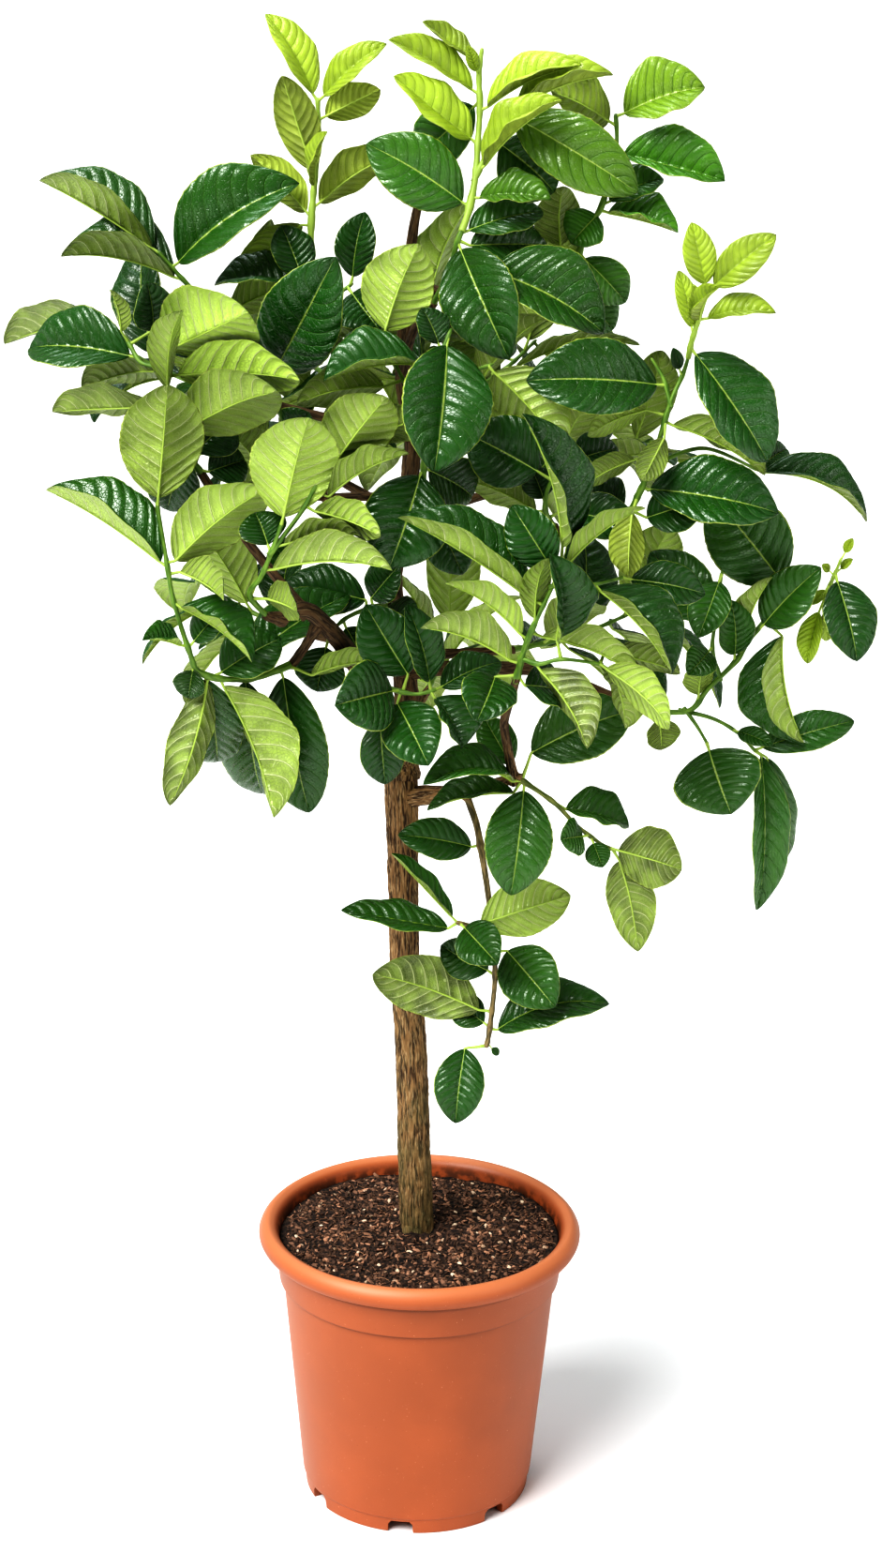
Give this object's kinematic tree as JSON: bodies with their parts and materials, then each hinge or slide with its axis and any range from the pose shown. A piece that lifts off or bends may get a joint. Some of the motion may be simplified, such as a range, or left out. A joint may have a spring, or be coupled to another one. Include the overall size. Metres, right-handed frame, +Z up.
{
  "type": "potted citron tree",
  "caption": "Citron tree grown as a small standard, with a leafy round crown on a single trunk, in a terracotta-coloured plastic pot with soil.",
  "frame": {"origin": "on the floor, at the middle of the pot's foot", "axes": "+Z up along the trunk, front of the tree faces -Y"},
  "size_m": [0.6391, 0.4874, 1.1815],
  "materials": {
    "terracotta_plastic": "smooth satin terracotta-coloured plastic",
    "potting_mix": "dark bark-based potting mix with pale crumbs",
    "bark": "furrowed brown bark",
    "leaf": "glossy dark green above, matte yellow-green below",
    "young_leaf": "soft bright lime green"
  },
  "bodies": {
    "root": {"back_high_left_shoot": "leaf", "back_high_mid_shoot": "leaf", "back_high_right_shoot": "leaf", "back_low_left_shoot": "leaf", "back_low_mid_shoot": "leaf", "back_low_right_shoot": "leaf", "back_mid_left_shoot": "leaf", "back_mid_near_left_shoot": "leaf", "back_mid_near_right_shoot": "leaf", "back_mid_right_shoot": "leaf", "back_mid_shoot": "leaf", "centre_low_shoot": "leaf", "centre_right_shoot": "leaf", "centre_shoot": "leaf", "hanging_shoot": "leaf", "inner_left_shoot": "leaf", "junction_shoot": "leaf", "left_centre_shoot": "leaf", "left_main_shoot": "leaf", "left_mid_shoot": "leaf", "left_top_shoot": "leaf", "lower_centre_shoot": "leaf", "pot": "terracotta_plastic", "right_cluster_shoot": "leaf", "right_main_shoot": "leaf", "soil": "potting_mix", "top_centre_shoot": "leaf", "top_right_shoot": "leaf", "trunk_and_limbs": "bark", "upper_left_shoot": "leaf", "young_far_right_shoot": "young_leaf", "young_right_shoot": "young_leaf", "young_top_left_shoot": "young_leaf", "young_top_mid_shoot": "young_leaf"}
  },
  "joints": []
}
